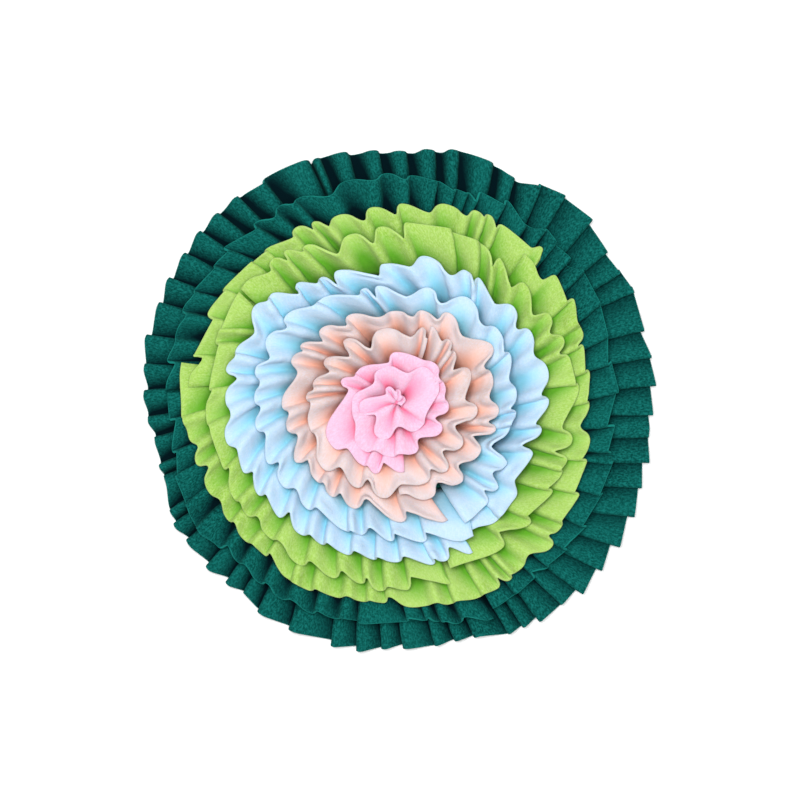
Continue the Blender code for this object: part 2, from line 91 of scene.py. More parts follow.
# folds: angle and reach of each ridge, angle and reach of the hollow after it, and how flat the
# fold is laid. turns: degrees that folds turn from the seam to the edge, at an angle. tuck: how
# far the first end dips and the last end lifts. At an angle too: ease moves the seam out, stack
# lifts the free edge, perch lifts the seam.
strips = {
    "green_outer_ruffle": {"ring": "greenOuter", "end": 357.4,
     "turns": [
      (0, 1), (20, -1), (45, 2.5), (78, 3), (100, 1), (130, 2), (170, 1.5), (215, 2), (260, 2),
      (305, 1), (320, 4), (334, 6), (348, 3.5), (357, 1)],
     "folds": [
      (-2.4, 225.5, 3.6, 223.7, 1), (4, 228.5, 9.5, 226.3, 1), (10.3, 227.7, 15.7, 223.3, 1),
      (16.5, 226.8, 24.7, 231.2, 1), (25.2, 230.7, 29.6, 228.5, 1), (30.2, 227.2, 35, 225.9, 1),
      (35.8, 228.1, 42.8, 232.5, 1), (43.3, 236, 50.6, 233.6, 1), (51, 235.1, 54.5, 230.7, 0.92),
      (56.3, 228.1, 59.8, 221.9, 0.47), (62.6, 223.7, 66.5, 225.9, 0.14),
      (68.4, 228.1, 75, 229, 0.13), (76.6, 228.5, 80, 224.1, 0.12), (81.8, 225, 86.5, 220.6, 0.1),
      (88.3, 221.9, 92.5, 220.6, 0.1), (94.6, 223.3, 98.5, 222.4, 0.1),
      (101.6, 225.9, 106, 226.3, 0.1), (108, 226.8, 109.6, 224.1, 0.1),
      (110.3, 229, 118.8, 230.3, 0.11), (121.3, 226.3, 125.5, 228.1, 0.3),
      (128, 230.3, 131, 228.5, 0.37), (133.5, 230.7, 137.5, 228.1, 0.43),
      (139, 230.7, 143.5, 226.8, 0.49), (144.8, 229.4, 150, 225.9, 0.52),
      (151.2, 229.4, 156.5, 224.6, 0.54), (157.2, 227.7, 163.5, 224.6, 0.57),
      (164.8, 229, 171, 224.1, 0.6), (171.3, 225, 176, 220.2, 0.41),
      (177.3, 223.3, 182, 219.8, 0.3), (183.5, 219.8, 187, 214.9, 0.32),
      (188.3, 215.8, 192, 214.9, 0.33), (194.7, 216.7, 197, 214.9, 0.34),
      (197.6, 215.4, 204.8, 221.1, 0.35), (205.3, 221.5, 208, 221.1, 0.4),
      (208.5, 224.1, 212.7, 218.9, 0.43), (213.2, 221.9, 219.7, 217.6, 0.48),
      (220.6, 221.9, 225.7, 214, 0.5), (226.4, 218.9, 230.5, 214, 0.5),
      (231.1, 215.4, 235, 218.9, 0.5), (236.3, 221.5, 243.5, 218.4, 0.53),
      (244.5, 221.5, 253.8, 216.7, 0.69), (254.8, 221.9, 259.8, 217.1, 0.68),
      (260.8, 221.5, 266, 215.4, 0.66), (266.6, 217.1, 270.8, 212.7, 0.65),
      (271.5, 216.7, 278.3, 216.2, 0.64), (279, 216.7, 282, 214.5, 0.62),
      (283.8, 216.2, 287.5, 215.8, 0.61), (288.4, 218, 295.3, 225.9, 0.6),
      (296, 226.3, 298.7, 225, 0.72), (299.5, 227.2, 302.8, 225, 0.79),
      (303.2, 230.3, 307.5, 229, 0.84), (309.3, 229.4, 313.7, 227.7, 0.92),
      (314.3, 234.7, 319.7, 227.2, 0.99), (320.8, 232.9, 326, 224.1, 1),
      (327.3, 233.4, 333, 225, 1), (334.5, 231.6, 340.2, 224.6, 1), (341, 227.7, 346, 221.5, 1),
      (346.8, 228.1, 351.8, 222.8, 1), (352.3, 223.7, 357, 221.5, 1)]},
    "green_inner_ruffle_long": {"ring": "greenInner", "end": 537,
     "turns": [
      (296, 1), (345, 2.5), (362, 3), (370, 1.5), (386, 4), (400, 2), (432, -1), (446, 1),
      (456, 0), (474, 4), (495, 6), (515, 3), (536, 2)],
     "folds": [
      (295.8, 198.7, 300.5, 197.3, 0.53), (302, 196.9, 306.6, 195.6, 0.43),
      (308.5, 189, 311.7, 196, 0.5), (312.8, 193.8, 318, 196.9, 0.73),
      (318.8, 193.4, 325.8, 198.2, 0.85), (326.3, 194.7, 334.8, 196.9, 0.85),
      (335.4, 194.7, 343.4, 196.5, 0.81), (344.2, 195.6, 346.3, 192.9, 0.51),
      (347, 189.4, 352.8, 192.1, 0.75), (353.6, 185, 361.8, 192.9, 0.77),
      (362.8, 194.3, 369.5, 191.6, 0.78), (370.3, 187.7, 376.8, 194.3, 0.8),
      (377.5, 193.8, 385.3, 198.7, 0.82), (386, 198.2, 394.3, 200.4, 0.83),
      (395, 200, 398.3, 191.6, 0.34), (400, 197.8, 404.4, 196.5, 0.69),
      (405.2, 198.7, 408.3, 201.3, 0.46), (409.5, 198.7, 412.5, 193.4, 0.23),
      (414.5, 192.5, 420, 202.2, 0.56), (421.6, 197.3, 427, 199.1, 0.55),
      (428.6, 190.3, 430.7, 195.1, 0.46), (431.5, 193.4, 434, 194.7, 0.52),
      (434.8, 192.5, 438.5, 197.8, 0.44), (440, 197.3, 444.8, 200, 0.23),
      (448, 196, 451.8, 201.7, 0.085), (456, 196, 461.3, 200, 0.085),
      (468, 190.7, 474, 199.5, 0.29), (477.5, 196.9, 480.3, 201.3, 0.085),
      (483.5, 194.7, 487.2, 201.3, 0.3), (489.3, 196, 496.4, 203.9, 0.63),
      (498, 198.7, 501.8, 200.9, 0.35), (503.7, 198.7, 509.5, 203.5, 0.5),
      (511.5, 201.7, 515.3, 205.2, 0.29), (517.5, 200, 521.3, 203.5, 0.085),
      (525, 201.3, 528.5, 205.2, 0.42), (530, 197.3, 536, 203, 0.71)]},
    "green_inner_ruffle_short": {"ring": "greenInner", "end": 294.2,
     "turns": [(178, 1.5), (205, 3.5), (220, 4), (235, 2.5), (260, 1), (280, 2.5), (294, 2)],
     "folds": [
      (178.3, 200.9, 182.8, 200.4, 0.51), (184.3, 194.3, 190.4, 201.7, 0.47),
      (192.7, 197.8, 197.5, 203, 0.71), (198.3, 204.4, 204.9, 205.2, 0.8),
      (205.6, 205.2, 209.5, 207, 0.093), (213, 207, 217.5, 201.7, 0.26),
      (220.3, 193.8, 223.8, 197.8, 0.085), (227, 194.3, 231.2, 199.1, 0.18),
      (234.3, 194.7, 238, 200, 0.085), (242, 195.6, 246.3, 199.5, 0.21),
      (249.3, 195.1, 252.5, 197.2, 0.085), (256, 194.3, 258.6, 194.3, 0.19),
      (260.5, 195.6, 269.8, 192.1, 0.5), (273, 189, 276.6, 192.5, 0.48),
      (277.9, 190.3, 280.2, 195.1, 0.085), (282.3, 196, 285, 200.9, 0.085),
      (287.8, 196.5, 293.5, 206.6, 0.77)]},
    "lime_outer_ruffle_short": {"ring": "limeOuter", "end": 175.8, "tuck": 2.8,
     "turns": [(44.6, 5), (50, 1), (70, 2), (100, 4), (113, 5), (130, 2), (175, 2)],
     "folds": [
      (44.6, 165.3, 46.6, 185.9, 0.09), (49.8, 179.1, 57.5, 181.1, 0.48),
      (60.5, 175.8, 63.3, 183.3, 0.29), (65, 179.3, 67.3, 182, 0.09),
      (70, 174, 75.6, 179.3, 0.09), (81, 168.3, 87.3, 174.5, 0.37),
      (90.5, 164.4, 96.3, 172.7, 0.2), (100.5, 161.7, 106.5, 172.3, 0.16),
      (111.3, 165.3, 114.2, 174.5, 0.33), (115.8, 168.3, 119.5, 177.1, 0.1),
      (122.8, 170.5, 129, 176.7, 0.55), (131, 174.5, 134.6, 176.2, 0.4),
      (136.3, 177.1, 144.8, 181.5, 0.66), (146.8, 179.3, 153, 183.3, 0.42),
      (155.8, 176.2, 165.8, 182.8, 0.82), (167, 174.5, 175, 182.8, 0.85)]},
    "lime_outer_ruffle_long": {"ring": "limeOuter", "end": 410.3, "tuck": 2.8,
     "turns": [
      (174, 1), (196, 7), (213, 5), (222, 1), (244, 4), (266, 2), (292, 1), (316, 5), (340, 3),
      (367, 3), (390, 3), (405, 2)],
     "folds": [
      (171.6, 191.6, 181, 189, 0.5), (184.5, 187.7, 188.5, 185, 0.09),
      (192.6, 178, 196, 183.7, 0.14), (198.8, 174, 203.5, 182.8, 0.09),
      (209.3, 176.1, 213.5, 180.2, 0.18), (216.7, 176.1, 220.8, 179.8, 0.09),
      (224.7, 176.2, 228.2, 176.7, 0.41), (229.8, 171.8, 236.5, 181.1, 0.32),
      (240.3, 181.1, 243.8, 181.5, 0.09), (247, 177.1, 251.5, 178.4, 0.09),
      (256, 174, 259.5, 176.4, 0.1), (262.6, 174, 265.6, 175.4, 0.24),
      (267.6, 169.6, 275, 179.6, 0.12), (281.3, 177.6, 284.5, 182, 0.17),
      (287, 180.6, 292, 184.6, 0.36), (294.6, 183.3, 298, 184.6, 0.3),
      (300, 176.2, 302.2, 183.7, 0.2), (303.8, 179.8, 306, 181.1, 0.09),
      (311.3, 175.4, 316.2, 185, 0.28), (319.2, 175.8, 322.3, 180.2, 0.09),
      (325.3, 176.7, 331.5, 178.7, 0.55), (333.5, 173.4, 341, 173.9, 0.62),
      (343, 168.8, 347.8, 172.3, 0.09), (353.3, 160.9, 358.3, 168.3, 0.34),
      (361, 166.1, 367.5, 170.5, 0.53), (369.7, 166.6, 375.6, 170.5, 0.57),
      (377.4, 165.7, 381, 174, 0.09), (384.5, 172.7, 389.3, 179.3, 0.56),
      (390.8, 173.2, 397.6, 178, 0.38), (401, 166.1, 408.3, 171.4, 0.61)]},
    "lime_inner_ruffle_long": {"ring": "limeInner", "end": 504.3,
     "ease": [(445, 0), (460, -6), (475, 0)],
     "turns": [
      (291, 0), (318, 5), (326, 6), (345, 0), (365, -1), (381, 4), (402, 8), (432, 9), (446, 8),
      (464, 7), (478, 7), (486, 1), (504, -3)],
     "folds": [
      (291, 151.2, 303.3, 156.9, 0.38), (308.8, 143.3, 316.3, 156.9, 0.42),
      (319.3, 150.3, 328.3, 156.5, 0.56), (330.6, 151.2, 335.8, 156.5, 0.36),
      (338.2, 154.3, 341, 156.7, 0.19), (343, 143.7, 347.5, 156.5, 0.08),
      (352.5, 145, 363, 159.1, 0.48), (366.5, 156.5, 373, 156, 0.22),
      (377.3, 147.9, 380.6, 156, 0.08), (385, 146.4, 389.3, 154.1, 0.08),
      (393.5, 140.9, 401.3, 152.9, 0.28), (405.8, 141.5, 413.3, 155.1, 0.63),
      (414.8, 145, 420.5, 157.3, 0.19), (424.5, 157.6, 431.3, 156.7, 0.57),
      (433, 158.7, 445, 157.8, 0.64), (447.3, 143.3, 454.3, 154.7, 0.23),
      (458.8, 140.6, 464.8, 152.9, 0.08), (472.3, 139.8, 479, 159.1, 0.38),
      (482, 155.1, 485.7, 164.8, 0.32), (487.6, 156.7, 490.8, 166, 0.08),
      (494.4, 158.9, 503, 168.8, 0.69)]},
    "lime_inner_ruffle_short": {"ring": "limeInner", "end": 286,
     "turns": [
      (146, -3), (156, 7), (175, 3), (200, 7), (217, 4), (235, 3), (248, 7), (264, 3), (285, 1)],
     "folds": [
      (146.8, 168.3, 155.8, 166.6, 0.64), (157.5, 167, 160.4, 167.4, 0.18),
      (162.5, 163.1, 173.5, 164.4, 0.59), (176, 161.7, 183, 167.4, 0.11),
      (189, 164.4, 198.3, 162.2, 0.5), (201.2, 156.9, 208.3, 165.3, 0.24),
      (212.8, 161.7, 216, 163.8, 0.08), (219.9, 156.5, 225.3, 162.2, 0.08),
      (230.5, 157.8, 237.3, 165.3, 0.2), (242, 156.9, 248.5, 162.9, 0.28),
      (252.2, 153.8, 257.5, 160.9, 0.31), (260.3, 154.7, 264.3, 164.8, 0.099),
      (267.8, 160, 272.3, 163.5, 0.29), (274.8, 151.6, 285, 164.6, 0.76)]},
    "blue_outer_ruffle": {"ring": "blueOuter", "end": 656.8,
     "turns": [
      (302, -3), (320, 2), (337, 7), (360, 3), (387, 7), (415, 9), (437, 14), (465, 18), (482, 2),
      (490, -1), (506, -8), (520, 1), (536, 2), (551, 13), (566, 12), (582, 9), (600, 6),
      (612, 4), (628, 0), (641, 5), (656, 2)],
     "folds": [
      (302.5, 128.3, 309, 134.5, 0.25), (313, 133.6, 320, 132.3, 0.08),
      (328, 122.2, 337.3, 126.6, 0.36), (341.6, 114.7, 348, 128.3, 0.24),
      (352, 122, 359.3, 132.3, 0.28), (363.5, 125.7, 371, 134.8, 0.08),
      (380.3, 126.2, 387, 132.3, 0.089), (393, 122.2, 398.3, 131.8, 0.08),
      (406.3, 120.9, 415, 130.4, 0.53), (417.5, 123.9, 421.3, 130.4, 0.08),
      (428.5, 120.4, 437.5, 130.8, 0.092), (445.5, 118.9, 453.8, 122, 0.26),
      (458.8, 111.6, 472, 126.6, 0.44), (477, 114.3, 480.8, 127.9, 0.12),
      (484, 125.1, 489.2, 135.8, 0.26), (492.3, 127.5, 498.5, 145, 0.31),
      (501.8, 143.3, 505.3, 150.3, 0.08), (514.5, 138, 520.8, 147.7, 0.33),
      (524, 146.4, 528.3, 151.8, 0.17), (531.5, 140.6, 537.5, 149.7, 0.08),
      (544.5, 144.9, 551.2, 152.9, 0.12), (556.8, 144.7, 562.8, 147.1, 0.33),
      (565.8, 138.9, 571.8, 145.3, 0.25), (575.5, 138.9, 582.4, 143.5, 0.37),
      (585.5, 133.2, 592, 142.4, 0.15), (597, 137.1, 601, 139.8, 0.2),
      (603.8, 135.8, 610.3, 139.3, 0.23), (614.5, 133.6, 620.3, 138, 0.39),
      (622.8, 135, 628.8, 138.9, 0.17), (633.3, 133.3, 641, 144.2, 0.5),
      (643.4, 139.1, 647, 143.9, 0.08), (650.3, 133.3, 656, 145.9, 0.7)]},
    "blue_inner_ruffle": {"ring": "blueInner", "end": 660,
     "turns": [
      (302, 2), (320, 6), (345, 8), (375, 4), (410, 10), (435, 10), (465, 10), (500, 7), (512, 8),
      (526, 8), (548, 7), (563, 10), (588, 8), (613, 8), (635, 2), (660, -4)],
     "folds": [
      (302, 119.5, 310, 117.8, 0.18), (315.5, 107.2, 318.8, 115.1, 0.07),
      (324.6, 102.8, 330.3, 109.3, 0.07), (336, 89.4, 345.5, 100.6, 0.31),
      (350, 101.1, 354.5, 104, 0.21), (357.3, 98.9, 364, 104.6, 0.07),
      (372.6, 99.3, 381.5, 107.2, 0.29), (386, 103.1, 394.3, 109, 0.07),
      (404.5, 100.6, 413.8, 110.8, 0.07), (427.7, 94.3, 432.5, 104.2, 0.07),
      (446, 92.3, 457.5, 103.3, 0.41), (461.5, 93, 466, 103.7, 0.13),
      (469.5, 99.3, 484, 112.1, 0.33), (490.5, 111.4, 500.5, 123.1, 0.24),
      (506.3, 115.9, 512.8, 126.6, 0.07), (521.3, 117.1, 526.3, 126.8, 0.07),
      (532.3, 120.2, 537.8, 124.4, 0.072), (542.8, 118.4, 548.8, 124.8, 0.09),
      (554, 117.3, 563, 124.4, 0.35), (566.8, 114.9, 574.3, 123.5, 0.07),
      (581.3, 115.1, 588.3, 121.1, 0.17), (593.2, 114.3, 605.5, 120.2, 0.36),
      (610.5, 117.8, 614, 119.1, 0.07), (618.5, 110.8, 626.3, 120.4, 0.41),
      (629, 113.4, 639.3, 123.1, 0.44), (642.5, 115.1, 659, 133.2, 0.7)]},
    "peach_outer_ruffle": {"ring": "peachOuter", "end": 652.5,
     "ease": [(276, -3.5), (652, 2)],
     "turns": [(276, 6), (652, 6)],
     "folds": [
      (276, 79.1, 288, 87.9, 0.09), (298, 77.4, 308, 88.8, 0.1), (316, 75.6, 327.5, 84.4, 0.093),
      (337, 71.2, 344, 88.8, 0.14), (349, 80.9, 354.5, 88.8, 0.06), (365, 80, 375, 86.1, 0.065),
      (384, 81.7, 388.5, 96.7, 0.06), (407, 80.9, 418, 90.5, 0.15),
      (425.5, 80, 433.5, 83.5, 0.06), (441, 75.6, 450, 80, 0.06), (463, 75.6, 477, 87, 0.25),
      (484, 80, 494.5, 92.3, 0.19), (501, 83.5, 508, 97.6, 0.27),
      (511.3, 93.2, 516.5, 99.3, 0.06), (525, 89.7, 538.5, 100.2, 0.22),
      (546, 94.1, 552.5, 98.4, 0.06), (559, 90.5, 568.5, 102, 0.27),
      (573, 91.4, 582.5, 97.6, 0.21), (588, 94.1, 594, 99.3, 0.14),
      (598.3, 92.3, 606.5, 99.3, 0.11), (613, 87, 630, 103.7, 0.38),
      (635.3, 94.1, 651, 110.8, 0.57)]},
    "peach_inner_ruffle": {"ring": "peachInner", "end": 426,
     "turns": [(80, 8), (426, 8)],
     "folds": [
      (67.2, 61.5, 69.6, 69.4, 0.05), (80, 58, 100, 65.9, 0.07), (117, 51.9, 128.5, 71.2, 0.12),
      (136.5, 57.1, 148.5, 73, 0.15), (156, 64.2, 165.5, 74.7, 0.17), (171, 73, 176, 79.1, 0.05),
      (181, 74.7, 193.5, 79.1, 0.073), (204, 75.6, 219.5, 86.1, 0.13),
      (230, 73.8, 242.5, 81.7, 0.16), (250, 70.3, 260.5, 83.5, 0.05),
      (275, 70.3, 288.5, 73.8, 0.12), (298, 64.2, 305.5, 73, 0.05),
      (315, 57.1, 325.5, 67.7, 0.05), (340, 53.6, 353.5, 70.3, 0.069),
      (365, 58.9, 382.5, 69.4, 0.22), (391, 56.3, 400.5, 66.8, 0.25),
      (404.5, 64.2, 409.5, 71.2, 0.05), (415, 65.9, 425, 73, 0.47)]},
    "pink_rosette": {"ring": "rosette", "end": 636.5,
     "ease": [(-375, -11.8), (-200, -11), (-60, -8.5), (60, -5), (160, -1), (636, 10)],
     "stack": [(-375, 0), (-240, 1.5), (-120, 5), (280, 2.6), (636, 0)],
     "perch": [(-375, 38.5), (-200, 36), (-20, 32), (120, 14), (300, 3), (400, 0)],
     "turns": [(-375, 0), (636, 0)],
     "folds": [
      (-375, 4.4, -330, 7.9, 0.11), (-300, 7, -275, 11.4, 0.16), (-262, 9.7, -240, 15.8, 0.04),
      (-215, 11.9, -172, 33.4, 0.14), (-147, 21.1, -117, 34.7, 0.04),
      (-82, 20.2, -50, 29.9, 0.04), (-18, 27.2, 37, 42.2, 0.089), (77, 27.2, 112, 33.4, 0.04),
      (145, 26.4, 180, 39.6, 0.093), (205, 39.6, 231, 51, 0.11), (248, 44.8, 262, 47, 0.04),
      (275, 44, 288, 46.1, 0.04), (304, 36, 326, 45.7, 0.12), (340, 35.2, 354, 44.8, 0.04),
      (368, 41.3, 380, 44, 0.04), (392, 42.2, 402, 47.5, 0.04), (425, 43.1, 450, 44, 0.16),
      (463, 35.2, 500, 44, 0.3), (508, 43.1, 518, 51.9, 0.098), (525, 43.1, 568, 68.6, 0.22),
      (584, 58, 600, 61.5, 0.25), (605, 59.8, 613, 63.7, 0.14), (617.5, 52.7, 635, 59.8, 0.39)]},
}


def blend(low, high, share):
    return low + (high - low) * share


def addObject(name, data):
    thing = bpy.data.objects.new(name, data)
    bpy.context.scene.collection.objects.link(thing)
    return thing


def addNode(tree, kind, sockets, **settings):
    # settings come first, because they decide which sockets a node has
    node = tree.nodes.new(kind)
    for title, value in settings.items():
        setattr(node, title, value)
    for title, value in sockets.items():
        if isinstance(value, bpy.types.NodeSocket):
            tree.links.new(value, node.inputs[title])
        else:
            node.inputs[title].default_value = value
    return node


# Fleece: colour, the deeper and lighter tones of the nap, tuft tips, a painted highlight on the cut
# edge, the bloom of its sheen, the painted shade in hollows and the amount of it from which that
# shows, and the glow inside the cloth.
fleece = {"roughness": 0.95, "sheen": 0.1, "glow": 0.0, "glowReach": (0.2, 1.0, 0.8),
          "bump": 0.45, "pile": 620.0, "clumps": 260.0}
finishes = {
    "dark_green_fleece": {
        **fleece, "colour": (0.0, 0.051, 0.043), "deep": (0.0, 0.037, 0.032),
        "light": (0.001, 0.068, 0.058), "tip": (0.006, 0.14, 0.122), "edge": (0.008, 0.19, 0.16),
        "bloom": (0.1, 0.75, 0.62), "paintedShade": (0.0, 0.006, 0.009), "paintedShadeFrom": (0.22, 0.85),
        "sheen": 0.06, "bump": 0.8},
    "lime_fleece": {
        **fleece, "colour": (0.305, 0.495, 0.088), "deep": (0.245, 0.43, 0.055),
        "light": (0.335, 0.515, 0.115), "tip": (0.4, 0.58, 0.17), "edge": (0.4, 0.58, 0.17),
        "bloom": (0.9, 1.0, 0.6), "paintedShade": (0.11, 0.345, 0.022), "paintedShadeFrom": (0.18, 0.85),
        "glow": 0.15, "glowReach": (0.7, 1.0, 0.2), "bump": 0.5},
    "light_blue_fleece": {
        **fleece, "colour": (0.43, 0.6, 0.755), "deep": (0.39, 0.565, 0.725),
        "light": (0.445, 0.605, 0.765), "tip": (0.5, 0.64, 0.78), "edge": (0.5, 0.64, 0.78),
        "bloom": (0.9, 0.95, 1.0), "paintedShade": (0.25, 0.59, 0.735), "paintedShadeFrom": (0.2, 0.9),
        "glow": 0.2, "glowReach": (0.5, 0.8, 1.0)},
    "peach_fleece": {
        **fleece, "colour": (0.625, 0.5, 0.472), "deep": (0.6, 0.455, 0.41),
        "light": (0.625, 0.525, 0.525), "tip": (0.635, 0.555, 0.58), "edge": (0.63, 0.535, 0.53),
        "bloom": (0.95, 0.85, 0.9), "paintedShade": (0.79, 0.425, 0.32), "paintedShadeFrom": (0.16, 0.95),
        "glow": 0.18, "glowReach": (1.0, 0.6, 0.4)},
    "pink_fleece": {
        **fleece, "colour": (0.735, 0.42, 0.56), "deep": (0.715, 0.375, 0.505),
        "light": (0.745, 0.455, 0.61), "tip": (0.77, 0.505, 0.66), "edge": (0.78, 0.48, 0.63),
        "bloom": (1.0, 0.85, 1.0), "paintedShade": (0.85, 0.21, 0.35), "paintedShadeFrom": (0.18, 0.8),
        "sheen": 0.15, "glow": 0.2, "glowReach": (1.0, 0.4, 0.6)},
    "base_cloth": {
        **fleece, "colour": (0.006, 0.085, 0.068), "deep": (0.004, 0.065, 0.052),
        "light": (0.008, 0.1, 0.08), "tip": (0.012, 0.125, 0.098), "edge": (0.015, 0.15, 0.12),
        "bloom": (0.3, 0.75, 0.65), "paintedShade": (0.002, 0.03, 0.03), "paintedShadeFrom": (0.4, 1.0),
        "roughness": 0.9, "sheen": 0.05, "bump": 0.4, "pile": 1400.0, "clumps": 500.0},
    "seam_thread": {
        **fleece, "colour": (0.02, 0.16, 0.13), "deep": (0.014, 0.12, 0.098),
        "light": (0.026, 0.19, 0.155), "tip": (0.04, 0.23, 0.19), "edge": (0.04, 0.23, 0.19),
        "bloom": (0.3, 0.75, 0.65), "paintedShade": (0.02, 0.16, 0.13), "paintedShadeFrom": (0.4, 1.0),
        "roughness": 0.6, "sheen": 0.05, "bump": 0.5, "pile": 3000.0, "clumps": 900.0},
}
grain = {"dye": 18.0, "roughness": 0.6, "knit": 0.5, "clumpHeight": 0.5, "depth": 0.0006,
         "sheenRoughness": 0.45, "shine": 0.05, "glowDepth": 0.0025}


def makeMaterial(name, finish):
    material = bpy.data.materials.new(name)
    material.use_nodes = True
    tree = material.node_tree
    place = addNode(tree, "ShaderNodeTexCoord", {})

    def noise(scale, detail, stretch=(1.0, 1.0, 1.0), space="Object"):
        turned = addNode(tree, "ShaderNodeMapping",
                         {"Vector": place.outputs[space], "Scale": stretch})
        return addNode(tree, "ShaderNodeTexNoise", {
            "Vector": turned.outputs["Vector"], "Scale": scale, "Detail": detail,
            "Roughness": grain["roughness"]}).outputs["Fac"]

    def mix(share, *tones):
        low, high = [(*tone, 1.0) if isinstance(tone, tuple) else tone for tone in tones]
        sockets = {0: share, 6: low, 7: high}
        return addNode(tree, "ShaderNodeMix", sockets, data_type="RGBA").outputs[2]

    def ramp(value, low, high):
        sockets = {"Value": value, "From Min": low, "From Max": high}
        return addNode(tree, "ShaderNodeMapRange", sockets).outputs["Result"]

    def painted(title):
        return addNode(tree, "ShaderNodeAttribute", {}, attribute_name=title).outputs["Fac"]

    pile = noise(finish["pile"], 3.0)               # single tufts of the nap
    knit = (finish["pile"], finish["pile"] * grain["knit"], 1.0)
    ribs = noise(1.0, 1.0, knit, "UV")              # faint rows of the knit
    clumps = noise(finish["clumps"], 2.0)           # where the nap lies one way or another
    dye = noise(grain["dye"], 2.0)                  # slow change over the cloth
    colour = mix(ramp(clumps, 0.35, 0.7), finish["deep"], finish["colour"])
    colour = mix(ramp(dye, 0.3, 0.7), colour, finish["light"])
    colour = mix(ramp(pile, 0.45, 0.75), colour, finish["tip"])
    colour = mix(ramp(ribs, 0.45, 0.7), colour, finish["tip"])
    # painted shade: where folds and other cloth hide a place from the light, the colour turns to a
    # deeper, fuller tone
    colour = mix(ramp(painted("paintedShade"), *finish["paintedShadeFrom"]), colour, finish["paintedShade"])
    # painted highlight along the rounded cut edge
    colour = mix(painted("paintedRimHighlight"), colour, finish["edge"])
    nap = addNode(tree, "ShaderNodeMath", {0: clumps, 1: grain["clumpHeight"], 2: pile},
                  operation="MULTIPLY_ADD")
    bump = addNode(tree, "ShaderNodeBump", {
        "Strength": finish["bump"], "Distance": grain["depth"], "Height": nap.outputs["Value"]})
    shader = tree.nodes["Principled BSDF"].inputs
    tree.links.new(colour, shader["Base Color"])
    tree.links.new(bump.outputs["Normal"], shader["Normal"])
    for title, value in (
            ("Roughness", finish["roughness"]), ("Sheen Weight", finish["sheen"]),
            ("Sheen Roughness", grain["sheenRoughness"]), ("Sheen Tint", (*finish["bloom"], 1.0)),
            ("Specular IOR Level", grain["shine"]), ("Subsurface Weight", finish["glow"]),
            ("Subsurface Radius", finish["glowReach"]), ("Subsurface Scale", grain["glowDepth"])):
        shader[title].default_value = value
    return material


class Strip:
    # One gathered strip: its ring, its folds and where its middle surface runs.
    def __init__(self, name):
        self.facts = strips[name]
        self.ring = rings[self.facts["ring"]]
        self.level = ringOrder.index(self.facts["ring"])
        self.folds = np.array(self.facts["folds"], dtype=float)
        self.start, self.end = self.folds[0, 0], self.facts["end"]
        middle = 0.5 * (self.folds[:, 1] + self.folds[:, 3])
        padded = np.concatenate([middle[:1], middle, middle[-1:]])
        self.middle = (padded[:-2] + 2.0 * padded[1:-1] + padded[2:]) / 4.0
        self.centres = 0.5 * (self.folds[:, 0] + self.folds[:, 2])

    def edge(self, angle):
        return np.interp(angle, self.centres, self.middle)

    def stop(self, title, angle):
        stops = self.facts.get(title, [(0, 0)])
        return np.interp(angle, [place for place, _ in stops], [value for _, value in stops])

    def seam(self, angle):
        follows = self.ring["follows"] * (self.edge(angle) - self.ring["mean"])
        return self.ring["seam"] + follows + self.stop("ease", angle)

    def radius(self, angle, across):
        return blend(self.seam(angle), self.edge(angle), across ** self.ring["opens"])

    def climb(self, angle):
        return self.ring["rise"] - self.stop("perch", angle)

    def height(self, angle, across):
        rise = across + self.ring["bow"] * across * (1.0 - across)
        foot = stand["seamHeight"] + self.ring["flat"] * self.ring["flare"]
        foot = foot + self.stop("perch", angle)
        return foot + self.climb(angle) * rise + self.stop("stack", angle) * across

    def slope(self, angle, across):
        run = np.maximum(self.edge(angle) - self.seam(angle), stand["leastRun"])
        run = run * self.ring["opens"] * max(across, 0.15) ** (self.ring["opens"] - 1.0)
        climb = self.climb(angle) * (1.0 + self.ring["bow"] * (1.0 - 2.0 * across))
        return np.arctan2(climb, run)


def distanceTo(strip, angle, radius, height):
    # shortest way from points to a strip's middle surface, in the plane through the axis
    shares = (0.0, 0.2, 0.4, 0.7, 1.0)
    shortest = np.full(radius.shape, np.inf)
    for low, high in zip(shares, shares[1:]):
        x0, y0 = strip.radius(angle, low), strip.height(angle, low)
        dx, dy = strip.radius(angle, high) - x0, strip.height(angle, high) - y0
        share = np.clip(((radius - x0) * dx + (height - y0) * dy) / (dx * dx + dy * dy), 0.0, 1.0)
        away = np.hypot(radius - x0 - share * dx, height - y0 - share * dy)
        shortest = np.minimum(shortest, away)
    return shortest


def roomFor(strip, angle, radius, height):
    # the way to the nearest cloth on the upper side and on the lower side
    above, below = np.full(radius.shape, stand["far"]), np.full(radius.shape, stand["far"])
    for other in allStrips.values():
        level = other.level - strip.level
        if abs(level) > 1:
            continue
        for turn in (-2, -1, 0, 1, 2):          # tables may run past a full turn
            if other is strip and turn == 0:
                continue
            there = angle + 360.0 * turn
            near = (there > other.start - stand["lap"]) & (there < other.end + stand["lap"])
            if near.any():
                away = distanceTo(other, there, radius, height)
                if level > 0 or (level == 0 and (other is not strip or turn < 0)):
                    above = np.where(near, np.minimum(above, away), above)
                if level < 0 or (level == 0 and (other is not strip or turn > 0)):
                    below = np.where(near, np.minimum(below, away), below)
    return above - stand["spare"], below - stand["spare"]


# The base; past its edge, the cloth above comes down to the table over a short slope.
baseCloth = {"radius": 195.8, "thickness": 2.5, "sides": 144, "ringShares": (0.5, 0.8, 0.97),
             "rimSteps": 6, "slopeStart": 1.5, "slopeLength": 6.0, "above": 0.45,
             "aboveTable": 0.35}


def floorAt(radius):
    # lowest place for the middle of the cloth: on the base cloth, or on the table beyond it
    half = 0.5 * cloth["thickness"]
    outside = (radius - baseCloth["radius"] - baseCloth["slopeStart"]) / baseCloth["slopeLength"]
    share = np.clip(outside, 0.0, 1.0)
    low, high = half + baseCloth["aboveTable"], baseCloth["thickness"] + half + baseCloth["above"]
    return blend(high, low, share)
